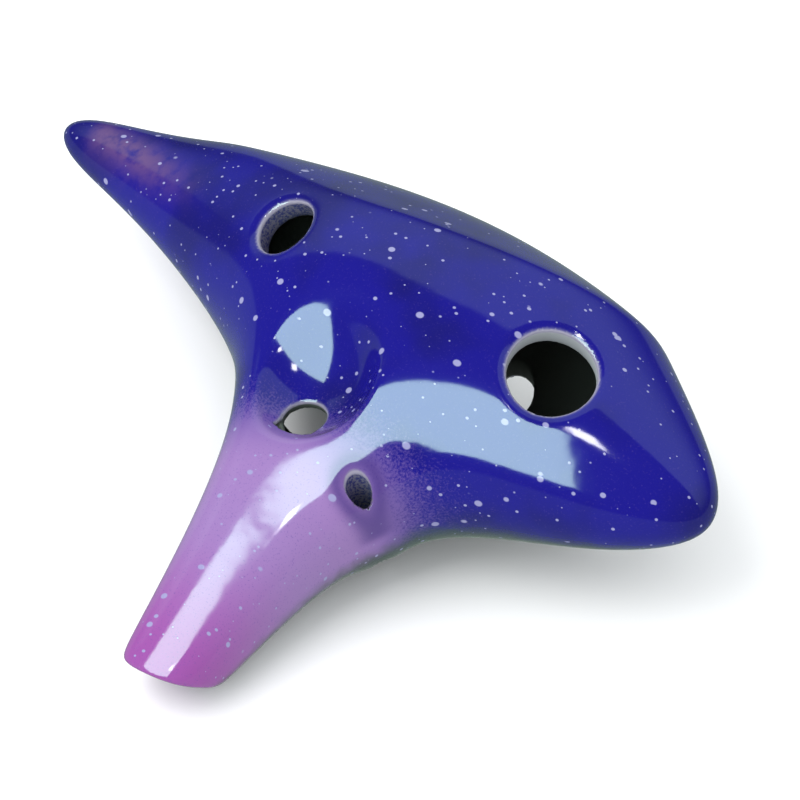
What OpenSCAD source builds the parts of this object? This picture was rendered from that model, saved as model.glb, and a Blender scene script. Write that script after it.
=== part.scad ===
// Six-hole ceramic transverse ocarina, lying on its finger side with the tip of its mouthpiece down.
// Lengths are in millimetres. The vessel is described in its own frame and laid down at the end:
// X runs along the chamber from the tail to the broad end, the mouthpiece points along -Y, and the
// thumb side faces +Z.

/* [Chamber] */

// Where the chamber law ends at the tail
tail_x = -65.6; // [-70:0.1:-50]
// Where the chamber law ends at the broad end
broad_x = 64.4; // [50:0.1:70]
// How plump the chamber is at mid length, as a share of its squared half length
plump = 0.075; // [0.06:0.001:0.11]
// How much plumper it grows towards the broad end
plump_slope = 0.077; // [0.05:0.001:0.12]
// How much it slims towards both ends
plump_fall = -0.034; // [-0.06:0.001:0.02]
// How much more it slims towards the broad end than the tail
plump_turn = -0.049; // [-0.08:0.001:0.02]
// Height of the chamber as a share of its width
flatness = 0.725; // [0.65:0.005:1]
// Clay wall of the chamber
wall = 3.4; // [3:0.1:6]

/* [Mouthpiece] */

// Where the mouthpiece tip ends
tip_y = -72.2; // [-80:0.1:-60]
// Middle of the mouthpiece at its tip
tip_x = 4.7; // [0:0.1:8]
// Half width at the tip
tip_half_width = 5.35; // [4:0.05:9]
// Half thickness at the tip
tip_half_height = 5.2; // [3:0.1:7]
// How far the end of the mouthpiece is bevelled under
tip_bevel = 36; // [20:1:45]
// Softness of the blend between mouthpiece and chamber
blend = 17.7; // [8:0.1:22]
// Plane where the mouthpiece is stuck on to the chamber
collar_y = -41; // [-43:0.5:-40]
// Thickness of the luting slip in every joint
slip = 0.6; // [0.3:0.1:1]

/* [Windway and voicing] */

// Width of the windway at the lips
windway_mouth = 9; // [7:0.1:10]
// Width of the windway at the window
windway_exit = 6.4; // [5:0.1:8]
// Height of the windway
windway_height = 1.6; // [1:0.1:2.5]
// Slope of the windway, rising towards the window
windway_slope = 13.8; // [12:0.1:14.5]
// Radius of the ball that shapes the dish
dish_radius = 12.5; // [11:0.1:15]
// Clay left under the dish
dish_wall = 1.8; // [1:0.1:3]
// Radius of the window in the floor of the dish
window_radius = 3.4; // [3:0.1:4.5]

/* [Holes] */

// Radius of the thumb hole near the broad end
broad_thumb_radius = 7; // [5:0.1:8]
// Radius of the thumb hole near the tail
tail_thumb_radius = 5; // [4:0.1:6]
// Radius of the cord hole
cord_radius = 1.9; // [1.5:0.1:2.2]
// Bevel round each thumb and finger hole
rim_bevel = 0.6; // [0.2:0.1:1]

/* [Hidden] */

stations = 56;
spokes = 30;
stem_stations = 24;
stem_spokes = 40;
mid_x = (tail_x + broad_x) / 2;
half_x = (broad_x - tail_x) / 2;
stem_length = -tip_y;
plug_y = -33.5;
dish_at = [3.2, -26.3, 22];
dish_lean = [18.6, -9.7, 0];
window_at = [3.9, -28.9];
cord_at = [18.7, -36.8];
cord_post = 4.8;
lug_swell = 0.9;
lug_reach = 5.5;
exit_x = 3.9;
windway_z = 0.2;
lie_roll = 12.82;
lie_pitch = -5.97;
rest_shift = [3.406, 27.85, 22.042];
big = 200;

// Each finger hole: x, y and depth of a point on its axis, radius, lean towards +X, lean towards +Y.
finger_holes = [
    [-24, 4, 15, 3.6, -16, 0],
    [-9.1, -16.6, 14.3, 5.2, -18, 1],
    [18.2, 4.2, 19, 4.4, 0, 0],
    [41, -9.5, 15, 3.8, 16, -3],
];

// ---------- the shape of the vessel ----------

function soft_min(a, b, k) = (a + b - sqrt((a - b) * (a - b) + k * k)) / 2;

function soft_max(a, b, k) = (a + b + sqrt((a - b) * (a - b) + k * k)) / 2;

function along(x) = (x - mid_x) / half_x;

function plumpness(u) = plump + plump_slope * u + plump_fall * u * u + plump_turn * u * u * u;

function plumpness_rate(u) = plump_slope + 2 * plump_fall * u + 3 * plump_turn * u * u;

function squared_width(u) = half_x * half_x * (1 - u * u) * max(plumpness(u), 0.01);

function width_rate(u) = half_x * (-2 * u * plumpness(u) + (1 - u * u) * plumpness_rate(u));

function spine(u) = -0.76 - 11.86 * u + 1.43 * (1 - u * u);

// About the distance to the chamber's skin, negative inside.
function chamber(x, y, z) =
    let (
        u = along(x),
        side = y - spine(u),
        up = z / flatness,
        rate = width_rate(u),
        slope = sqrt(rate * rate + 4 * side * side + 4 * up * up / (flatness * flatness) + 120)
    )
    (side * side + up * up - squared_width(u)) / slope;

function stem_share(y) = min(max((y + stem_length) / stem_length, -0.3), 1.3);

function stem_middle(s) = tip_x + 0.6 * s + 2.4 * s * s;

// About the distance to the mouthpiece's skin, negative inside.
function mouthpiece(x, y, z) =
    let (
        s = stem_share(y),
        half_width = tip_half_width + 5.25 * s + 3.8 * s * s,
        half_height = tip_half_height + 5.5 * s,
        across = abs(x - stem_middle(s)) / half_width,
        up = abs(z) / half_height,
        ring = pow(pow(across, 2.5) + pow(up, 2.5), 0.4),
        side = (ring - 1) * min(half_width, half_height),
        end = (tip_y - y) * cos(tip_bevel) - z * sin(tip_bevel),
        tipped = soft_max(side, end, 1.6)
    )
    soft_max(tipped, y + 4, 3);

// The swelling of the web round the cord hole.
function lug(x, y) = lug_swell * exp(-pow(norm([x, y] - cord_at) / lug_reach, 2));

function skin(x, y, z) = soft_min(chamber(x, y, z), mouthpiece(x, y, z), blend) - lug(x, y);

// The hollow: the skin moved in by the wall, kept off the mouthpiece, the dish and the cord hole.
function hollow(x, y, z) =
    let (
        shell = soft_max(skin(x, y, z) + wall, plug_y - y, 2),
        dish = dish_radius + dish_wall - norm([x, y, z] - dish_at),
        post = cord_post - norm([x, y] - cord_at)
    )
    soft_max(soft_max(shell, dish, 1), post, 1.5);

function field(inner, x, y, z) = inner ? hollow(x, y, z) : max(skin(x, y, z), collar_y - 10 - y);

// ---------- rays from the chamber's axis to the skin ----------

function refine(inner, x, y, c, s, near, far, left) =
    left == 0
        ? (near + far) / 2
        : let (r = (near + far) / 2)
            field(inner, x, y + r * c, r * s) < 0
                ? refine(inner, x, y, c, s, r, far, left - 1)
                : refine(inner, x, y, c, s, near, r, left - 1);

function reach(inner, x, y, c, s, r = 0) =
    r > 90 || field(inner, x, y + (r + 2) * c, (r + 2) * s) >= 0
        ? refine(inner, x, y, c, s, r, r + 2, 10)
        : reach(inner, x, y, c, s, r + 2);

function pole(inner, good, bad, left = 14) =
    let (x = (good + bad) / 2)
    left == 0
        ? x
        : field(inner, x, spine(along(x)), 0) < 0 ? pole(inner, x, bad, left - 1) : pole(inner, good, x, left - 1);

// Spokes run from the far side (0) over the top to the mouthpiece side (180), closer together there.
function spoke(j) = 180 * (1 - pow(1 - j / spokes, 1.3));

function ring_points(inner, x, sign) =
    let (y = spine(along(x)))
    [
        for (j = [0:spokes])
            let (
                c = cos(spoke(j)),
                s = sign * sin(spoke(j)),
                r = reach(inner, x, y, c, s)
            )
            [x, y + r * c, r * s]
    ];

function sheet_points(inner, sign) =
    let (
        first = pole(inner, -30, -75),
        last = pole(inner, 30, 75)
    )
    concat(
        [[first, spine(along(first)), 0]],
        [
            for (i = [1:stations - 1])
                let (x = (first + last) / 2 - (last - first) / 2 * cos(180 * i / stations))
                each ring_points(inner, x, sign)
        ],
        [[last, spine(along(last)), 0]]
    );

function sheet_size() = (stations - 1) * (spokes + 1) + 2;

function at(i, j) = i == 0 ? 0 : i == stations ? sheet_size() - 1 : 1 + (i - 1) * (spokes + 1) + j;

function triangles(a, b, c, d) = a == d ? [[a, b, c]] : b == c ? [[a, b, d]] : [[a, b, c], [a, c, d]];

function flip(faces) = [for (f = faces) [f[2], f[1], f[0]]];

function sheet_faces(offset) = [
    for (i = [0:stations - 1], j = [0:spokes - 1])
        each triangles(
            offset + at(i, j), offset + at(i + 1, j), offset + at(i + 1, j + 1), offset + at(i, j + 1)
        )
];

function rim_faces(j) =
    let (n = sheet_size())
    [
        for (i = [0:stations - 1])
            each triangles(at(i, j), n + at(i, j), n + at(i + 1, j), at(i + 1, j))
    ];

// Half of the vessel as one closed skin: outside sheet, inside sheet and the flat seam between them.
module half_vessel(sign) {
    points = concat(sheet_points(false, sign), sheet_points(true, sign));
    faces = concat(
        sheet_faces(0),
        flip(sheet_faces(sheet_size())),
        rim_faces(0),
        flip(rim_faces(spokes))
    );
    polyhedron(points, sign > 0 ? faces : flip(faces), convexity = 6);
}

// ---------- cutting tools ----------

module drill(x, y, z, radius, lean_x, lean_y, length) {
    translate([x, y, z])
        rotate([-lean_y, lean_x, 0])
            cylinder(h = length, r = radius, center = true, $fn = 64);
}

module bevel(x, y, z, radius, lean_x, lean_y) {
    translate([x, y, z])
        rotate([-lean_y, lean_x, 0])
            translate([0, 0, -rim_bevel])
                cylinder(h = 4 * rim_bevel, r1 = radius, r2 = radius + 4 * rim_bevel, $fn = 64);
}

// The windway's plane, with its middle line on Y and its lips at the origin.
module on_windway_plane() {
    translate([tip_x, tip_y - 1, windway_z])
        rotate([windway_slope, 0, 0])
            children();
}

module windway() {
    lead = exit_x - tip_x;
    run = 44;
    on_windway_plane()
        translate([0, 0, -windway_height / 2])
            linear_extrude(height = windway_height)
                polygon([
                    [-windway_mouth / 2, -2],
                    [windway_mouth / 2, -2],
                    [lead + windway_exit / 2, run],
                    [lead - windway_exit / 2, run],
                ]);
}

module above(y_from, y_to, z) {
    translate([-big / 2, y_from, z])
        cube([big, y_to - y_from, big]);
}

module voicing() {
    translate(dish_at)
        rotate(dish_lean)
            sphere(r = dish_radius, $fn = 96);
    translate([window_at[0], window_at[1], 5])
        cylinder(h = 12, r = window_radius, $fn = 64);
    windway();
}

module cord_hole() {
    translate([cord_at[0], cord_at[1], 0])
        cylinder(h = 80, r = cord_radius, center = true, $fn = 48);
}

// ---------- the mouthpiece as a closed skin ----------

// Rings lean with the bevelled end at the tip and stand upright at the collar.
function ring_lean(y) = tan(tip_bevel) * max(0, 1 - (y - tip_y) / 22);

function stem_refine(x, y, lean, c, s, near, far, left) =
    left == 0
        ? (near + far) / 2
        : let (r = (near + far) / 2)
            skin(x + r * c, y - lean * r * s, r * s) < 0
                ? stem_refine(x, y, lean, c, s, r, far, left - 1)
                : stem_refine(x, y, lean, c, s, near, r, left - 1);

function stem_pole(good, bad, left = 16) =
    let (y = (good + bad) / 2)
    left == 0 ? y : skin(tip_x, y, 0) < 0 ? stem_pole(y, bad, left - 1) : stem_pole(good, y, left - 1);

function stem_ring(y) =
    let (
        x = stem_middle(stem_share(y)),
        lean = ring_lean(y)
    )
    [
        for (j = [0:stem_spokes - 1])
            let (
                c = cos(360 * j / stem_spokes),
                s = sin(360 * j / stem_spokes),
                r = stem_refine(x, y, lean, c, s, 0, 45, 16)
            )
            [x + r * c, y - lean * r * s, r * s]
    ];

module whole_stem() {
    n = stem_spokes;
    end = stem_pole(-50, -80);
    start = collar_y + 2;
    points = concat(
        [[tip_x, end, 0]],
        [
            for (i = [1:stem_stations])
                each stem_ring(end + (start - end) * (1 - cos(90 * i / stem_stations)))
        ],
        [[stem_middle(stem_share(start)), start, 0]]
    );
    last = len(points) - 1;
    base = last - n;
    faces = concat(
        [for (j = [0:n - 1]) [0, 1 + (j + 1) % n, 1 + j]],
        [
            for (i = [0:stem_stations - 2], j = [0:n - 1])
                let (
                    a = 1 + i * n + j,
                    b = 1 + i * n + (j + 1) % n
                )
                each [[a, b, b + n], [a, b + n, a + n]]
        ],
        [for (j = [0:n - 1]) [last, base + j, base + (j + 1) % n]]
    );
    polyhedron(points, flip(faces), convexity = 4);
}

// The mouthpiece as far as the slip in the collar joint, with the windway cut through it.
module cut_stem() {
    difference() {
        whole_stem();
        above(collar_y - slip / 2, 0, -big / 2);
        windway();
    }
}

module lie() {
    translate(rest_shift)
        rotate([lie_roll, 0, 0])
            rotate([0, lie_pitch, 0])
                children();
}

// ---------- the pieces ----------

module thumb_shell() {
    color([0.14, 0.12, 0.55])
        lie()
            difference() {
                half_vessel(1);
                translate([0, 0, -big + slip / 2])
                    cube([big, big, 2 * big - slip / 2], center = true);
                above(-big, collar_y + slip / 2, -big / 2);
                drill(38.7, -8.5, 16.8, broad_thumb_radius, 13, -1, 22);
                bevel(38.7, -8.5, 17.2, broad_thumb_radius, 13, -1);
                drill(-16.3, -1.2, 18, tail_thumb_radius, -18, -7, 22);
                bevel(-16.3, -1.2, 18.4, tail_thumb_radius, -18, -7);
                voicing();
                cord_hole();
            }
}

module finger_shell() {
    color([0.12, 0.1, 0.48])
        lie()
            difference() {
                half_vessel(-1);
                translate([0, 0, big - slip / 2])
                    cube([big, big, 2 * big - slip / 2], center = true);
                above(-big, collar_y + slip / 2, -big / 2);
                for (hole = finger_holes)
                    mirror([0, 0, 1])
                        drill(hole[0], hole[1], hole[2], hole[3], hole[4], hole[5], 22);
                cord_hole();
            }
}

module shell_slip() {
    color([0.85, 0.83, 0.8])
        lie()
            difference() {
                translate([0, 0, -slip / 2])
                    linear_extrude(height = slip)
                        difference() {
                            polygon(outline(false));
                            polygon(outline(true));
                        }
                above(-big, collar_y + slip / 2, -big / 2);
                cord_hole();
            }
}

function outline(inner) =
    let (
        first = pole(inner, -30, -75),
        last = pole(inner, 30, 75),
        xs = [for (i = [1:stations - 1]) (first + last) / 2 - (last - first) / 2 * cos(180 * i / stations)]
    )
    concat(
        [[first, spine(along(first))]],
        [for (x = xs) let (y = spine(along(x))) [x, y - reach(inner, x, y, -1, 0)]],
        [[last, spine(along(last))]],
        [
            for (i = [len(xs) - 1:-1:0])
                let (y = spine(along(xs[i])))
                [xs[i], y + reach(inner, xs[i], y, 1, 0)]
        ]
    );

module stem_roof() {
    color([0.62, 0.42, 0.72])
        lie()
            difference() {
                cut_stem();
                on_windway_plane()
                    translate([-big / 2, -big / 2, slip / 2 - big])
                        cube([big, big, big]);
            }
}

module stem_floor() {
    color([0.58, 0.36, 0.68])
        lie()
            difference() {
                cut_stem();
                on_windway_plane()
                    translate([-big / 2, -big / 2, -slip / 2])
                        cube([big, big, big]);
            }
}

// How far the skin lies from the mouthpiece's middle, measured in the windway's plane.
function plane_refine(x, y, z, side, near, far, left) =
    left == 0
        ? (near + far) / 2
        : let (r = (near + far) / 2)
            skin(x + side * r, y, z) < 0
                ? plane_refine(x, y, z, side, r, far, left - 1)
                : plane_refine(x, y, z, side, near, r, left - 1);

function plane_z(y) = windway_z + (y - tip_y + 1) * tan(windway_slope);

function plane_reach(y, side) =
    let (x = stem_middle(stem_share(y)))
    x + side * plane_refine(x, y, plane_z(y), side, 0, 45, 16);

function plane_pole(good, bad, left = 16) =
    let (y = (good + bad) / 2)
    left == 0
        ? y
        : skin(tip_x, y, plane_z(y)) < 0 ? plane_pole(y, bad, left - 1) : plane_pole(good, y, left - 1);

function plane_point(x, y) = [x - tip_x, (y - tip_y + 1) / cos(windway_slope)];

// The slip on one side of the windway: -1 is the tail side, 1 the broad end side.
module stem_slip(side) {
    end = plane_pole(-50, -80) + 0.05;
    start = collar_y + 2;
    ys = [for (i = [0:stem_stations]) end + (start - end) * (1 - cos(90 * i / stem_stations))];
    difference() {
        on_windway_plane()
            translate([0, 0, -slip / 2])
                linear_extrude(height = slip)
                    polygon(concat(
                        [plane_point(tip_x, end - 0.05)],
                        [for (y = ys) plane_point(plane_reach(y, side), y)],
                        [plane_point(tip_x, start)]
                    ));
        windway();
        above(collar_y - slip / 2, 0, -big / 2);
    }
}

module stem_slip_tail_side() {
    color([0.85, 0.83, 0.8])
        lie()
            stem_slip(-1);
}

module stem_slip_broad_side() {
    color([0.85, 0.83, 0.8])
        lie()
            stem_slip(1);
}

module collar_slip() {
    ring = [for (p = stem_ring(collar_y)) [p[0], p[2]]];
    color([0.85, 0.83, 0.8])
        lie()
            difference() {
                translate([0, collar_y + slip / 2, 0])
                    rotate([90, 0, 0])
                        linear_extrude(height = slip)
                            polygon(ring);
                windway();
            }
}

thumb_shell();
finger_shell();
shell_slip();
stem_roof();
stem_floor();
stem_slip_tail_side();
stem_slip_broad_side();
collar_slip();
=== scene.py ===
"""Glazed six-hole ceramic ocarina, modelled as one smooth field and cut into its clay pieces.

The vessel is described in millimetres in its own frame: X runs from the tail to the broad end, the
mouthpiece points along -Y and the thumb side faces +Z. At the end it is laid down in the row frame.
"""

import math

import bmesh
import bpy
import numpy as np
from mathutils import Matrix, Quaternion, Vector

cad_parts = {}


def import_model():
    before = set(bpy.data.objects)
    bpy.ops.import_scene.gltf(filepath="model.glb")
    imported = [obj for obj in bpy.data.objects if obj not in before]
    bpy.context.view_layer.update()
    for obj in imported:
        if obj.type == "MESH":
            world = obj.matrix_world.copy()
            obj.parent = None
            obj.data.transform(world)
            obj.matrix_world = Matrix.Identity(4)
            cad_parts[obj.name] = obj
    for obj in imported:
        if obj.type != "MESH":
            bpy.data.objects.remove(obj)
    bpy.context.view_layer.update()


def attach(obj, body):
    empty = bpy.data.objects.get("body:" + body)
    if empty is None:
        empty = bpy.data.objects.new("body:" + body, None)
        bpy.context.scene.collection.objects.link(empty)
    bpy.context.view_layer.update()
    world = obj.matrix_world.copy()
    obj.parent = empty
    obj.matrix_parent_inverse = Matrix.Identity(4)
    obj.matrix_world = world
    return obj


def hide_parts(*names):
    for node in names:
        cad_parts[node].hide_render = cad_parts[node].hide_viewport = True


MM = 0.001
ROOT = "root"

# ---------- the vessel's own numbers, the same as in the CAD ----------

TAIL_X, BROAD_X = -65.6, 64.4
PLUMPNESS = (0.075, 0.077, -0.034, -0.049)
SPINE = (-0.76, -11.86, 1.43)
FLATNESS = 0.725
SLOPE_FLOOR = 120
WALL = 3.4
TIP_X, TIP_Y = 4.7, -72.2
TIP_BEVEL = math.radians(36)
TIP_HALF_WIDTH, TIP_HALF_HEIGHT = 5.35, 5.2
STEM_BOW, STEM_WIDENING, STEM_DEEPENING = (0.6, 2.4), (5.25, 3.8), 5.5
STEM_SQUARENESS = 2.5
BLEND = 17.7
COLLAR_Y, PLUG_Y = -41.0, -33.5
SLIP = 0.6

WINDWAY_MOUTH, WINDWAY_EXIT, WINDWAY_HEIGHT = 9.0, 6.4, 1.6
WINDWAY_SLOPE = math.radians(13.8)
WINDWAY_Z, WINDWAY_RUN = 0.2, 44.0
EXIT_X = 3.9
DISH_CENTRE, DISH_RADIUS, DISH_WALL = (3.2, -26.3, 22.0), 12.5, 1.8
WINDOW_CENTRE, WINDOW_RADIUS = (3.9, -28.9), 3.4
CORD_CENTRE, CORD_RADIUS, CORD_POST = (18.7, -36.8), 1.9, 4.8
LUG_SWELL, LUG_REACH = 0.9, 5.5

LIE_ROLL, LIE_PITCH = math.radians(12.82), math.radians(-5.97)
REST_SHIFT = (3.406, 27.85, 22.042)

# Each hole: point on its axis, radius, lean towards +X and +Y in degrees, side (1 thumb, -1 finger).
THUMB_HOLES = (
    ((38.7, -8.5, 16.8), 7.0, 13, -1, 1),
    ((-16.3, -1.2, 18.0), 5.0, -18, -7, 1),
)
FINGER_HOLES = (
    ((-24.0, 4.0, -15.0), 3.6, -16, 0, -1),
    ((-9.1, -16.6, -14.3), 5.2, -18, 1, -1),
    ((18.2, 4.2, -19.0), 4.4, 0, 0, -1),
    ((41.0, -9.5, -15.0), 3.8, 16, -3, -1),
)

# How far each hole reaches inward from its point, and how far below that point its rim can lie.
HOLE_REACH, RIM_DEPTH = 11, 8

STEP, QUICK_STEP = 0.55, 0.9
GRID_LOW, GRID_HIGH = (-76.0, -81.0, -24.0), (70.0, 24.0, 24.0)
SLAB = 16


# ---------- soft joins ----------


def soft_min(a, b, k):
    return (a + b - np.sqrt((a - b) ** 2 + k * k)) / 2


def soft_max(a, b, k):
    return (a + b + np.sqrt((a - b) ** 2 + k * k)) / 2


def ease(low, high, value):
    """0 below low, 1 above high, smooth between."""
    t = np.clip((value - low) / (high - low), 0, 1)
    return t * t * (3 - 2 * t)


# ---------- the outside ----------


def chamber(x, y, z):
    """A flattened body that tapers to the tail, with its widths set along a curved spine."""
    half = (BROAD_X - TAIL_X) / 2
    u = (x - (TAIL_X + BROAD_X) / 2) / half
    a, b, c, d = PLUMPNESS
    plump = a + b * u + c * u**2 + d * u**3
    rate = b + 2 * c * u + 3 * d * u**2
    squared_width = half**2 * (1 - u * u) * np.maximum(plump, 0.01)
    width_rate = half * (-2 * u * plump + (1 - u * u) * rate)
    side = y - (SPINE[0] + SPINE[1] * u + SPINE[2] * (1 - u * u))
    up = z / FLATNESS
    slope = np.sqrt(width_rate**2 + 4 * side**2 + 4 * (up / FLATNESS) ** 2 + SLOPE_FLOOR)
    return (side**2 + up**2 - squared_width) / slope


def stem_share(y):
    """0 at the mouthpiece's tip, 1 at the vessel's middle."""
    return np.clip((y - TIP_Y) / -TIP_Y, -0.3, 1.3)


def stem_middle(s):
    first, second = STEM_BOW
    return TIP_X + first * s + second * s * s


def mouthpiece(x, y, z):
    """A flared stem with rounded-square sections and a bevelled end."""
    s = stem_share(y)
    first, second = STEM_WIDENING
    half_width = TIP_HALF_WIDTH + first * s + second * s * s
    half_height = TIP_HALF_HEIGHT + STEM_DEEPENING * s
    across = np.abs(x - stem_middle(s)) / half_width
    up = np.abs(z) / half_height
    ring = (across**STEM_SQUARENESS + up**STEM_SQUARENESS + 1e-12) ** (1 / STEM_SQUARENESS)
    side = (ring - 1) * np.minimum(half_width, half_height)
    end = (TIP_Y - y) * math.cos(TIP_BEVEL) - z * math.sin(TIP_BEVEL)
    return soft_max(soft_max(side, end, 1.6), y + 4, 3)


def cord_away(x, y):
    return np.hypot(x - CORD_CENTRE[0], y - CORD_CENTRE[1])


def skin(x, y, z):
    """Chamber and mouthpiece blended together, with the swelling that walls the cord hole."""
    body = soft_min(chamber(x, y, z), mouthpiece(x, y, z), BLEND)
    return body - LUG_SWELL * np.exp(-((cord_away(x, y) / LUG_REACH) ** 2))


# ---------- holes, dish and windway ----------


def hole_axis(hole):
    """The hole's own upright direction, leaning as its two angles say."""
    _, _, lean_x, lean_y, side = hole
    a, b = math.radians(lean_x), math.radians(lean_y)
    return np.array([math.sin(a), math.sin(b) * math.cos(a), side * math.cos(a) * math.cos(b)])


def round_hole(x, y, z, hole):
    """How deep a point is inside the drilled hole, and how far off and how far up the hole's axis it lies."""
    (px, py, pz), radius = hole[0], hole[1]
    ax, ay, az = hole_axis(hole)
    dx, dy, dz = x - px, y - py, z - pz
    s = dx * ax + dy * ay + dz * az
    away = np.sqrt(np.maximum(dx * dx + dy * dy + dz * dz - s * s, 1e-9))
    return np.minimum(radius - away, s + HOLE_REACH), away, s


def dish(x, y, z):
    cx, cy, cz = DISH_CENTRE
    return DISH_RADIUS - np.sqrt((x - cx) ** 2 + (y - cy) ** 2 + (z - cz) ** 2)


def dish_softness(x, y):
    """The dish has a crisp lip towards the mouthpiece and runs out softly on its far side."""
    return 0.7 + 3.3 * ease(-28, -13, y - 0.2 * x)


def windway_frame(x, y, z):
    """Across, along and up in the windway's sloping plane."""
    c, s = math.cos(WINDWAY_SLOPE), math.sin(WINDWAY_SLOPE)
    dy, dz = y - (TIP_Y - 1), z - WINDWAY_Z
    return x - TIP_X, dy * c + dz * s, dz * c - dy * s


def windway(x, y, z):
    across, along, up = windway_frame(x, y, z)
    share = (along + 2) / (WINDWAY_RUN + 2)
    middle = (EXIT_X - TIP_X) * share
    half = (WINDWAY_MOUTH + (WINDWAY_EXIT - WINDWAY_MOUTH) * share) / 2
    flare = 0.5 * np.exp(-((along - 1) / 2.0) ** 2)
    sides = half + flare - np.abs(across - middle)
    roof = WINDWAY_HEIGHT / 2 + flare - np.abs(up)
    return np.minimum(np.minimum(sides, roof), WINDWAY_RUN - along)


def glazed_skin(x, y, z):
    """The outside with its dents: dished rims, the dimple of the cord hole and the voicing's dish."""
    out = skin(x, y, z)
    for hole in THUMB_HOLES:
        _, away, s = round_hole(x, y, z, hole)
        out = out + 0.22 * np.exp(-(((away - hole[1] - 0.5) / 0.8) ** 2)) * (s > -RIM_DEPTH)
    for hole in FINGER_HOLES:
        _, away, s = round_hole(x, y, z, hole)
        out = out + 0.2 * np.exp(-(((away - hole[1] - 0.8) / 1.0) ** 2)) * (s > -RIM_DEPTH)
    out = out + 0.6 * np.exp(-((cord_away(x, y) / 3.8) ** 2)) * ease(-2, 2, z)
    return soft_max(out, dish(x, y, z), dish_softness(x, y))


def hollow(x, y, z):
    """The sounding air: negative inside it. It keeps clear of the stem, the dish and the cord hole."""
    shell = soft_max(skin(x, y, z) + WALL, PLUG_Y - y, 2)
    softness = dish_softness(x, y)
    shell = soft_max(shell, dish(x, y, z) + DISH_WALL + softness / 2, softness)
    return soft_max(shell, CORD_POST - cord_away(x, y), 1.5)


def clay(x, y, z):
    """The fired clay: negative inside it, about the distance to its surface.

    The last number of each soft_max is how softly that rim is rounded, in millimetres.
    """
    body = soft_max(glazed_skin(x, y, z), -hollow(x, y, z), 0.3)
    for hole in THUMB_HOLES + FINGER_HOLES:
        body = soft_max(body, round_hole(x, y, z, hole)[0], 0.6)
    window = WINDOW_RADIUS - np.hypot(x - WINDOW_CENTRE[0], y - WINDOW_CENTRE[1])
    body = soft_max(body, np.minimum(window, z - 5), 0.5)
    body = soft_max(body, CORD_RADIUS - cord_away(x, y), 0.3)
    return soft_max(body, windway(x, y, z), 0.35)


def gradient(field, points, reach=0.02):
    """The field's slope at each point."""
    x, y, z = points.T
    return np.stack(
        [
            field(x + reach, y, z) - field(x - reach, y, z),
            field(x, y + reach, z) - field(x, y - reach, z),
            field(x, y, z + reach) - field(x, y, z - reach),
        ],
        axis=1,
    ) / (2 * reach)


def settle(field, points, rounds, longest):
    """Move points on to the field's zero surface by Newton steps no longer than the limit."""
    for _ in range(rounds):
        slope = gradient(field, points)
        value = field(*points.T)
        move = -(value / np.maximum((slope**2).sum(axis=1), 0.05))[:, None] * slope
        length = np.linalg.norm(move, axis=1, keepdims=True)
        points = points + move * np.minimum(1, longest / np.maximum(length, 1e-9))
    return points


# ---------- the mesh of the whole vessel ----------


def sample_grid(step):
    """The clay's field on a grid, worked out in slabs to save memory."""
    axes = [np.arange(low, high, step) + 0.137 * step for low, high in zip(GRID_LOW, GRID_HIGH)]
    values = np.empty([len(a) for a in axes], dtype=np.float32)
    y, z = axes[1][None, :, None], axes[2][None, None, :]
    for start in range(0, len(axes[0]), SLAB):
        x = axes[0][start : start + SLAB][:, None, None]
        values[start : start + SLAB] = clay(x + 0 * y + 0 * z, y + 0 * x + 0 * z, z + 0 * x + 0 * y)
    return axes, values


def surface_net(step):
    """Points and quads of the zero surface: one point in each cell it crosses."""
    axes, values = sample_grid(step)
    inside = values < 0
    nx, ny, nz = inside.shape
    count = np.zeros((nx - 1, ny - 1, nz - 1), dtype=np.int8)
    for i in (0, 1):
        for j in (0, 1):
            for k in (0, 1):
                count += inside[i : nx - 1 + i, j : ny - 1 + j, k : nz - 1 + k]
    crossed = (count > 0) & (count < 8)
    number = np.full(crossed.shape, -1, dtype=np.int64)
    number[crossed] = np.arange(crossed.sum())
    cells = np.argwhere(crossed)
    points = np.stack([axes[d][cells[:, d]] + step / 2 for d in range(3)], axis=1)
    quads = []
    for d in range(3):
        e, f = (d + 1) % 3, (d + 2) % 3
        near = [slice(1, -1)] * 3
        near[d] = slice(0, -1)
        far = list(near)
        far[d] = slice(1, None)
        change = inside[tuple(near)] != inside[tuple(far)]
        place = np.argwhere(change)
        place[:, e] += 1
        place[:, f] += 1
        outward = inside[tuple(place.T)]
        corners = []
        for shift_e, shift_f in ((0, 0), (-1, 0), (-1, -1), (0, -1)):
            cell = place.copy()
            cell[:, e] += shift_e
            cell[:, f] += shift_f
            corners.append(number[tuple(cell.T)])
        quad = np.stack(corners, axis=1)
        quad[~outward] = quad[~outward][:, ::-1]
        quads.append(quad)
    return points, np.concatenate(quads)


def relax(points, quads, step):
    """Even out the quads along the surface, staying on it."""
    links = np.concatenate([quads[:, [i, (i + 1) % 4]] for i in range(4)])
    share = np.bincount(links[:, 0], minlength=len(points)) + np.bincount(links[:, 1], minlength=len(points))
    points = settle(clay, points, 4, step * 0.5)
    for _ in range(4):
        total = np.zeros_like(points)
        for a, b in ((0, 1), (1, 0)):
            for d in range(3):
                total[:, d] += np.bincount(links[:, a], weights=points[links[:, b], d], minlength=len(points))
        points = 0.4 * points + 0.6 * total / share[:, None]
        points = settle(clay, points, 2, step * 0.4)
    return settle(clay, points, 3, step * 0.2)


def whole_vessel():
    """One closed mesh of all the clay, in the vessel's own millimetres."""
    step = STEP
    points, quads = surface_net(step)
    points = relax(points, quads, step)
    mesh = bpy.data.meshes.new("vessel")
    mesh.from_pydata(points.tolist(), [], quads.tolist())
    return mesh


# ---------- cutting it into its clay pieces ----------


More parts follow.
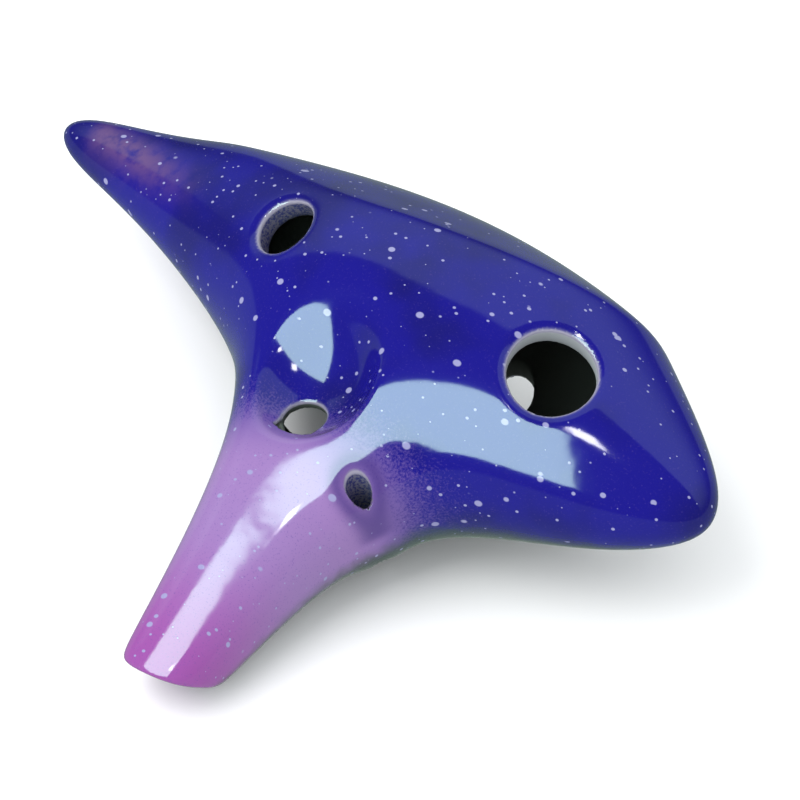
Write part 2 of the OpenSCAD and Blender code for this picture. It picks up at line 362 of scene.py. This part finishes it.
def windway_plane(offset):
    """A plane along the windway, given as a point and its upward normal."""
    normal = Vector((0, -math.sin(WINDWAY_SLOPE), math.cos(WINDWAY_SLOPE)))
    return Vector((TIP_X, TIP_Y - 1, WINDWAY_Z)) + normal * offset, normal


def seam_plane(offset):
    return Vector((0, 0, offset)), Vector((0, 0, 1))


def collar_plane(offset):
    return Vector((0, COLLAR_Y + offset, 0)), Vector((0, 1, 0))


def flipped(plane):
    return plane[0], -plane[1]


def keep_above(cut, plane):
    """Keep what lies on the plane's upper side, and close the cut with flat faces."""
    point, normal = plane
    layer = cut.faces.layers.int.get("flat") or cut.faces.layers.int.new("flat")
    geometry = cut.verts[:] + cut.edges[:] + cut.faces[:]
    bmesh.ops.bisect_plane(cut, geom=geometry, dist=1e-5, plane_co=point, plane_no=normal, clear_inner=True)
    rim = [e for e in cut.edges if e.is_boundary]
    filled = bmesh.ops.triangle_fill(cut, use_beauty=True, use_dissolve=False, edges=rim, normal=-normal)
    for face in filled["geom"]:
        if isinstance(face, bmesh.types.BMFace):
            face[layer] = 1
            if face.normal.dot(normal) > 0:
                face.normal_flip()


def keep_side(cut, side):
    """Keep the loose bodies on one side of the windway."""
    left = set(cut.verts)
    while left:
        body, todo = set(), [left.pop()]
        while todo:
            vert = todo.pop()
            body.add(vert)
            for edge in vert.link_edges:
                other = edge.other_vert(vert)
                if other in left:
                    left.discard(other)
                    todo.append(other)
        middle = sum(v.co.x for v in body) / len(body) - TIP_X
        if middle * side < 0:
            bmesh.ops.delete(cut, geom=list(body), context="VERTS")


GAP = SLIP / 2
STEM_SLIP_PLANES = (flipped(collar_plane(-GAP)), windway_plane(-GAP), flipped(windway_plane(GAP)))
# Each piece: the planes that bound it, and the side of the windway it lies on (0 both).
PIECES = {
    "thumb_shell": ((seam_plane(GAP), collar_plane(GAP)), 0),
    "finger_shell": ((flipped(seam_plane(-GAP)), collar_plane(GAP)), 0),
    "shell_slip": ((seam_plane(-GAP), flipped(seam_plane(GAP)), collar_plane(GAP)), 0),
    "collar_slip": ((collar_plane(-GAP), flipped(collar_plane(GAP))), 0),
    "stem_roof": ((flipped(collar_plane(-GAP)), windway_plane(GAP)), 0),
    "stem_floor": ((flipped(collar_plane(-GAP)), flipped(windway_plane(-GAP))), 0),
    "stem_slip_tail_side": (STEM_SLIP_PLANES, -1),
    "stem_slip_broad_side": (STEM_SLIP_PLANES, 1),
}


def lie_down(points):
    """Turn points or normals from the vessel's own frame to the row frame's."""
    cr, sr = math.cos(LIE_ROLL), math.sin(LIE_ROLL)
    cp, sp = math.cos(LIE_PITCH), math.sin(LIE_PITCH)
    roll = np.array([[1, 0, 0], [0, cr, -sr], [0, sr, cr]])
    pitch = np.array([[cp, 0, sp], [0, 1, 0], [-sp, 0, cp]])
    return points @ (roll @ pitch).T


def hole_wall(x, y, z, hole):
    """1 on the drilled wall of a hole and 0 away from it."""
    _, away, s = round_hole(x, y, z, hole)
    return ease(1.6, 0.7, away - hole[1]) * ease(-7.5, -6.5, s)


def paint(mesh, points):
    """What the glaze reads: the depth under the skin, where each colour was sprayed, and where painted shade
    and a painted table reflection lie.
    """
    x, y, z = points.T
    larger_wall, smaller_wall = (hole_wall(x, y, z, hole) for hole in THUMB_HOLES)
    cord_wall = ease(CORD_RADIUS + 1.5, CORD_RADIUS + 0.5, cord_away(x, y))
    masks = {
        "drilled": larger_wall,
        "sprayed": np.maximum(smaller_wall, cord_wall),
        "depth": np.clip(-glazed_skin(x, y, z), -1, 2),
        "violet": 1 - ease(-46, -21, y + 0.2 * np.abs(x - 8) - 0.1 * z),
        "tip": 1 - ease(-76, -50, y),
        "mauve": ease(-69, -64, x) * (1 - ease(-56, -34, x)) * np.exp(-(((y + 8 + 0.3 * x) / 3.2) ** 2)),
        # ring: painted shade in the dimple round the cord hole, on the thumb side
        "ring": np.exp(-(((cord_away(x, y) - 3.2) / 1.3) ** 2)) * ease(-1, 1, z),
        # under: an olive painted reflection of the table, laid on the underside by height
        "under": 1 - ease(-9, 4, z - 0.12 * np.minimum(x, 0)),
    }
    for name, values in masks.items():
        layer = mesh.attributes.new(name, "FLOAT", "POINT")
        layer.data.foreach_set("value", values.astype(np.float32))


def read_points(mesh):
    points = np.empty(len(mesh.vertices) * 3)
    mesh.vertices.foreach_get("co", points)
    return points.reshape(-1, 3)


def take_flat_marks(mesh):
    """Which faces are flat cuts. The layer that marked them is removed."""
    flat = np.zeros(len(mesh.polygons), dtype=np.int32)
    if "flat" in mesh.attributes:
        mesh.attributes["flat"].data.foreach_get("value", flat)
        mesh.attributes.remove(mesh.attributes["flat"])
    return flat > 0


def corner_normals(mesh, points):
    """A normal for each face corner: the field's slope on the skin, the face's own on a flat cut."""
    slope = gradient(clay, points)
    slope /= np.linalg.norm(slope, axis=1, keepdims=True)
    flat = take_flat_marks(mesh)
    face_normal = np.empty(len(mesh.polygons) * 3)
    mesh.polygons.foreach_get("normal", face_normal)
    corner_vert = np.empty(len(mesh.loops), dtype=np.int32)
    mesh.loops.foreach_get("vertex_index", corner_vert)
    sizes = np.empty(len(mesh.polygons), dtype=np.int32)
    mesh.polygons.foreach_get("loop_total", sizes)
    corner_face = np.repeat(np.arange(len(sizes)), sizes)
    normals = slope[corner_vert]
    on_cut = flat[corner_face]
    normals[on_cut] = face_normal.reshape(-1, 3)[corner_face[on_cut]]
    return normals


def finish_piece(name, cut, material):
    """Turn a cut piece into a painted object, laid down in the row frame."""
    mesh = bpy.data.meshes.new(name)
    cut.to_mesh(mesh)
    cut.free()
    points = read_points(mesh)
    paint(mesh, points)
    normals = corner_normals(mesh, points)
    mesh.vertices.foreach_set("co", ((lie_down(points) + REST_SHIFT) * MM).ravel())
    mesh.polygons.foreach_set("use_smooth", np.ones(len(mesh.polygons), dtype=bool))
    mesh.update()
    mesh.normals_split_custom_set(lie_down(normals).tolist())
    mesh.materials.append(material)
    piece = bpy.data.objects.new("glazed_" + name, mesh)
    bpy.context.scene.collection.objects.link(piece)
    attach(piece, ROOT)
    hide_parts(name)


def make_pieces(material):
    """Cut a copy of the vessel's mesh for each CAD node."""
    vessel = whole_vessel()
    for name, (planes, side) in PIECES.items():
        cut = bmesh.new()
        cut.from_mesh(vessel)
        for plane in planes:
            keep_above(cut, plane)
        if side:
            keep_side(cut, side)
        finish_piece(name, cut, material)
    bpy.data.meshes.remove(vessel)


# ---------- materials ----------


class Nodes:
    """Short ways to make and join shader nodes."""

    def __init__(self, name, tree=None):
        if tree is None:
            self.material = bpy.data.materials.new(name)
            self.material.use_nodes = True
            tree = self.material.node_tree
        self.tree = tree
        self.tree.nodes.clear()

    def add(self, kind, inputs=None, **settings):
        node = self.tree.nodes.new(kind)
        for key, value in settings.items():
            setattr(node, key, value)
        for key, value in (inputs or {}).items():
            self.put(node.inputs[key], value)
        return node

    def put(self, socket, value):
        if isinstance(value, bpy.types.NodeSocket):
            self.tree.links.new(value, socket)
        else:
            socket.default_value = value

    def mask(self, name):
        return self.add("ShaderNodeAttribute", attribute_name=name).outputs["Fac"]

    def math(self, operation, a, b=0.0, c=0.0):
        return self.add("ShaderNodeMath", {0: a, 1: b, 2: c}, operation=operation).outputs[0]

    def ramp(self, value, low, high, out_low=0.0, out_high=1.0):
        """Smooth step from out_low at low to out_high at high."""
        node = self.add(
            "ShaderNodeMapRange",
            {"Value": value, "From Min": low, "From Max": high, "To Min": out_low, "To Max": out_high},
            interpolation_type="SMOOTHSTEP",
        )
        return node.outputs["Result"]

    def mix(self, share, a, b):
        node = self.add("ShaderNodeMix", data_type="RGBA")
        self.put(node.inputs["Factor"], share)
        self.put(node.inputs["A"], a)
        self.put(node.inputs["B"], b)
        return node.outputs["Result"]

    def noise(self, where, scale, detail=2.0, roughness=0.5):
        return self.add(
            "ShaderNodeTexNoise",
            {"Vector": where, "Scale": scale, "Detail": detail, "Roughness": roughness},
        ).outputs["Fac"]


ULTRAMARINE = (0.008, 0.006, 0.19, 1)
NAVY = (0.007, 0.006, 0.12, 1)
LILAC = (0.26, 0.155, 0.37, 1)
MAGENTA = (0.26, 0.07, 0.29, 1)
NECK_VIOLET = (0.10, 0.062, 0.26, 1)
# Painted shade for the dimple round the cord hole.
DIMPLE_SHADE_VIOLET = (0.055, 0.03, 0.17, 1)
MAUVE = (0.105, 0.052, 0.165, 1)
# Olive painted reflection of the table on the underside.
OLIVE_TABLE_REFLECTION = (0.028, 0.055, 0.032, 1)
SPECK = (0.27, 0.27, 0.46, 1)
# Thinning glaze at the rims, also a painted highlight on their lips.
RIM_WHITE_AND_HIGHLIGHT = (0.36, 0.35, 0.42, 1)
# Bare clay painted dark as shade inside the vessel and its openings.
SHADED_INNER_CLAY = (0.045, 0.05, 0.042, 1)
DRILLED_CLAY = (0.34, 0.36, 0.38, 1)
SPRAYED_CLAY = (0.10, 0.09, 0.16, 1)

# Depths under the skin, in millimetres: the glaze thins to white over the first pair, and over the second,
# which runs upwards, it comes back from none to all. The white at the rims is also a painted highlight.
GLAZE_THINS, GLAZE_ENDS = (0.12, 0.4), (0.85, 0.6)
GLAZE_ROUGHNESS, CLAY_ROUGHNESS, GLAZE_IOR = 0.07, 0.75, 1.52
# Nets of specks: cells per metre, smallest and largest speck as a share of a cell, share of cells with one.
BIG_SPECKS, SMALL_SPECKS = (300, 0.05, 0.23, 0.8), (520, 0.06, 0.19, 0.75)


def specks(n, where, scale, low, high, share):
    """Pale dots of mixed sizes: one at the heart of some cells of a random net."""
    cells = n.add(
        "ShaderNodeTexVoronoi", {"Vector": where, "Scale": scale, "Randomness": 1.0}, feature="F1"
    )
    chance = n.add("ShaderNodeSeparateColor", {"Color": cells.outputs["Color"]})
    size = n.math("MULTIPLY_ADD", n.math("POWER", chance.outputs["Red"], 2.2), high - low, low)
    chosen = n.math("LESS_THAN", chance.outputs["Green"], share)
    away = n.math("DIVIDE", cells.outputs["Distance"], size)
    return n.math("MULTIPLY", n.ramp(away, 1.15, 0.8), chosen)


def sprayed_blue_and_violet(n, where):
    """Clouded blue over the chamber, running through spray grain into the mouthpiece's violet."""
    cloud = n.noise(where, 45, 3)
    blue = n.mix(n.ramp(cloud, 0.42, 0.62), ULTRAMARINE, NAVY)
    grain = n.noise(where, 2600, 2, 0.7)
    spread = n.math("ADD", n.mask("violet"), n.math("MULTIPLY", n.math("SUBTRACT", grain, 0.5), 0.8))
    lilac = n.mix(n.mask("tip"), LILAC, MAGENTA)
    violet = n.mix(n.ramp(n.mask("violet"), 0.2, 0.95), NECK_VIOLET, lilac)
    colour = n.mix(n.ramp(spread, 0.05, 0.5), blue, violet)
    dust = n.ramp(n.noise(where, 3800, 1, 0.5), 0.62, 0.72)
    return n.mix(n.math("MULTIPLY", dust, n.math("MULTIPLY", n.mask("violet"), 0.45)), colour, NECK_VIOLET)


def local_colours(n, where, colour):
    """Mauve on the tail, a dark ring of painted shade in the cord hole's dimple and an olive painted
    reflection of the table on the underside.
    """
    tail = n.math("MULTIPLY", n.mask("mauve"), n.ramp(n.noise(where, 400, 3), 0.15, 0.6))
    colour = n.mix(tail, colour, MAUVE)
    # Dark violet painted shade in the dimple round the cord hole.
    colour = n.mix(n.math("MULTIPLY", n.mask("ring"), 0.75), colour, DIMPLE_SHADE_VIOLET)
    # Olive painted reflection of the table on the underside, with a noisy edge.
    reflection_edge_noise = n.noise(where, 300, 3)
    under = n.math("ADD", n.mask("under"), n.math("MULTIPLY", n.math("SUBTRACT", reflection_edge_noise, 0.5), 0.5))
    return n.mix(n.math("MULTIPLY", n.ramp(under, 0.3, 1.0), 0.9), colour, OLIVE_TABLE_REFLECTION)


def all_specks(n, where):
    turned = n.add(
        "ShaderNodeMapping", {"Vector": where, "Rotation": (0.3, 0.2, 0.6), "Scale": (1.0, 1.35, 1.1)}
    ).outputs["Vector"]
    return n.math("MAXIMUM", specks(n, turned, *BIG_SPECKS), specks(n, turned, *SMALL_SPECKS))


def bare_clay_colour(n, where):
    """Clay painted dark as shade inside the vessel and its openings, pale on the larger hole's wall, misted
    with glaze on the two smaller ones.
    """
    colour = n.mix(n.mask("drilled"), SHADED_INNER_CLAY, DRILLED_CLAY)
    mist = n.ramp(n.noise(where, 2200, 2, 0.6), 0.42, 0.6)
    return n.mix(n.mask("sprayed"), colour, n.mix(mist, SPRAYED_CLAY, NAVY))


def surface_relief(n, where, glazed, dots):
    """Soft orange peel on the glaze, pores in bare clay and a slight rise at each speck."""
    bare = n.math("SUBTRACT", 1.0, glazed)
    peel = n.math("MULTIPLY", n.noise(where, 160, 2), 0.25)
    pores = n.math("MULTIPLY", n.math("MULTIPLY", n.noise(where, 1800, 3), bare), 0.12)
    height = n.math("ADD", n.math("ADD", peel, pores), n.math("MULTIPLY", dots, 0.02))
    bump = n.add("ShaderNodeBump", {"Height": height, "Strength": 0.25, "Distance": 0.0006})
    return bump.outputs["Normal"]


def glaze_material():
    """Galaxy glaze on the skin, thinned to white at its edges, where the white is also a painted highlight,
    and bare clay under it.
    """
    n = Nodes("galaxy_glaze")
    where = n.add("ShaderNodeTexCoord").outputs["Object"]
    dots = all_specks(n, where)
    colour = local_colours(n, where, sprayed_blue_and_violet(n, where))
    colour = n.mix(n.math("MULTIPLY", dots, 0.92), colour, SPECK)
    thin_glaze_and_highlight = n.ramp(n.mask("depth"), *GLAZE_THINS)
    # White at the rims: thinning glaze and a painted highlight.
    colour = n.mix(n.math("MULTIPLY", thin_glaze_and_highlight, 0.85), colour, RIM_WHITE_AND_HIGHLIGHT)
    glazed = n.ramp(n.mask("depth"), *GLAZE_ENDS)
    colour = n.mix(glazed, bare_clay_colour(n, where), colour)
    rough = n.ramp(glazed, 0, 1, CLAY_ROUGHNESS, GLAZE_ROUGHNESS)
    rough = n.math("ADD", rough, n.math("MULTIPLY", n.noise(where, 500, 2), 0.03))
    relief = surface_relief(n, where, glazed, dots)
    shader = n.add(
        "ShaderNodeBsdfPrincipled",
        {"Base Color": colour, "Roughness": rough, "IOR": GLAZE_IOR, "Normal": relief},
    )
    out = n.add("ShaderNodeOutputMaterial")
    n.put(out.inputs["Surface"], shader.outputs["BSDF"])
    return n.material


def floor_material():
    n = Nodes("pale_floor")
    where = n.add("ShaderNodeTexCoord").outputs["Object"]
    shade = n.mix(n.noise(where, 3, 2), (0.90, 0.90, 0.90, 1), (0.92, 0.92, 0.92, 1))
    shader = n.add("ShaderNodeBsdfPrincipled", {"Base Color": shade, "Roughness": 0.9})
    shader.inputs["Specular IOR Level"].default_value = 0.0
    out = n.add("ShaderNodeOutputMaterial")
    n.put(out.inputs["Surface"], shader.outputs["BSDF"])
    return n.material


# ---------- stage, light and camera ----------


FLOOR_HALF = 30.0


def make_floor():
    mesh = bpy.data.meshes.new("floor")
    corners = [(x * FLOOR_HALF, y * FLOOR_HALF, 0) for x, y in ((-1, -1), (1, -1), (1, 1), (-1, 1))]
    mesh.from_pydata(corners, [], [(0, 1, 2, 3)])
    mesh.materials.append(floor_material())
    floor = bpy.data.objects.new("floor", mesh)
    bpy.context.scene.collection.objects.link(floor)
    floor.visible_glossy = False


# How bright the studio is: front, back wall and table as the gloss sees them, and the fill on matt surfaces.
STUDIO_FRONT, STUDIO_BACK, STUDIO_TABLE, STUDIO_FILL = 0.08, 0.8, 0.25, 1.3
GLOSS_TINT, FILL_TINT = (0.82, 1.0, 0.9, 1), (0.96, 0.98, 1.0, 1)


def make_world():
    """Pale studio: even light on matt surfaces, a dim back wall and a dark front in the glaze's gloss."""
    world = bpy.data.worlds.new("studio")
    bpy.context.scene.world = world
    world.use_nodes = True
    n = Nodes("studio", world.node_tree)
    way = n.add("ShaderNodeSeparateXYZ", {"Vector": n.add("ShaderNodeTexCoord").outputs["Generated"]})
    behind = n.math("MULTIPLY_ADD", way.outputs["Z"], -0.11, way.outputs["Y"])
    wall = n.math("MULTIPLY", n.ramp(behind, -0.01, 0.01), n.ramp(way.outputs["Z"], 0.1, 0.8))
    table = n.ramp(way.outputs["Z"], 0.03, -0.03, 0, STUDIO_TABLE)
    seen = n.math("ADD", n.math("MULTIPLY_ADD", wall, STUDIO_BACK - STUDIO_FRONT, STUDIO_FRONT), table)
    gloss = n.add("ShaderNodeBackground", {"Color": GLOSS_TINT, "Strength": seen})
    fill = n.add("ShaderNodeBackground", {"Color": FILL_TINT, "Strength": STUDIO_FILL})
    rays = n.add("ShaderNodeLightPath")
    light = n.add("ShaderNodeMixShader", {0: rays.outputs["Is Diffuse Ray"]})
    n.put(light.inputs[1], gloss.outputs["Background"])
    n.put(light.inputs[2], fill.outputs["Background"])
    n.put(n.add("ShaderNodeOutputWorld").inputs["Surface"], light.outputs["Shader"])


def soft_box(name, place, aim, size, power, roll=0):
    """A rectangular area light: metres, watts, and degrees of roll about its own aim."""
    light = bpy.data.lights.new(name, "AREA")
    light.shape = "RECTANGLE"
    light.size, light.size_y = size
    light.energy = power
    lamp = bpy.data.objects.new(name, light)
    lamp.location = place
    turn = (Vector(aim) - Vector(place)).to_track_quat("-Z", "Y")
    lamp.rotation_euler = (turn @ Quaternion((0, 0, 1), math.radians(roll))).to_euler()
    bpy.context.scene.collection.objects.link(lamp)
    return lamp


def make_lights():
    """One broad box that lights the clay, and a low panel and a small strip that shine in the glaze."""
    key = soft_box("key_box", place=(-0.35, -0.45, 0.85), aim=(0.01, 0.01, 0.02), size=(0.7, 0.7), power=6)
    key.visible_glossy = False
    panel = soft_box(
        "panel",
        place=(0.010, -0.124, 0.113),
        aim=(0.0676, -0.0757, 0.047),
        size=(0.152, 0.18),
        power=0.95,
        roll=45,
    )
    panel.data.color = (0.70, 1.0, 0.88)
    panel.visible_diffuse = False
    strip = soft_box(
        "strip",
        place=(0.138, -0.223, 0.70),
        aim=(0.03, 0.0, 0.02),
        size=(0.08, 0.07),
        power=0.45,
    )
    strip.visible_diffuse = False


# Azimuth, elevation and roll, then the angle of view, in degrees; then the point aimed at and its distance.
CAMERA_ANGLES, VIEW_ANGLE = (28.19, 44.87, -3.75), 13.44
CAMERA_AIM, CAMERA_DISTANCE = (0.01052, 0.02092, 0.01228), 0.56


def make_camera():
    azimuth, elevation, roll = (math.radians(angle) for angle in CAMERA_ANGLES)
    look = Vector(
        (
            -math.sin(azimuth) * math.cos(elevation),
            math.cos(azimuth) * math.cos(elevation),
            -math.sin(elevation),
        )
    )
    data = bpy.data.cameras.new("camera")
    data.angle = math.radians(VIEW_ANGLE)
    data.clip_start = 0.01
    camera = bpy.data.objects.new("camera", data)
    right = look.cross(Vector((0, 0, 1))).normalized()
    up = right.cross(look)
    up_rolled = up * math.cos(roll) + right * math.sin(roll)
    right_rolled = look.cross(up_rolled)
    turn = Matrix((right_rolled, up_rolled, -look)).transposed().to_4x4()
    place = Vector(CAMERA_AIM) - look * CAMERA_DISTANCE
    camera.matrix_world = Matrix.Translation(place) @ turn
    bpy.context.scene.collection.objects.link(camera)
    bpy.context.scene.camera = camera


def main():
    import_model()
    make_pieces(glaze_material())
    make_floor()
    make_world()
    make_lights()
    make_camera()
    bpy.context.scene.view_settings.view_transform = "Standard"


main()
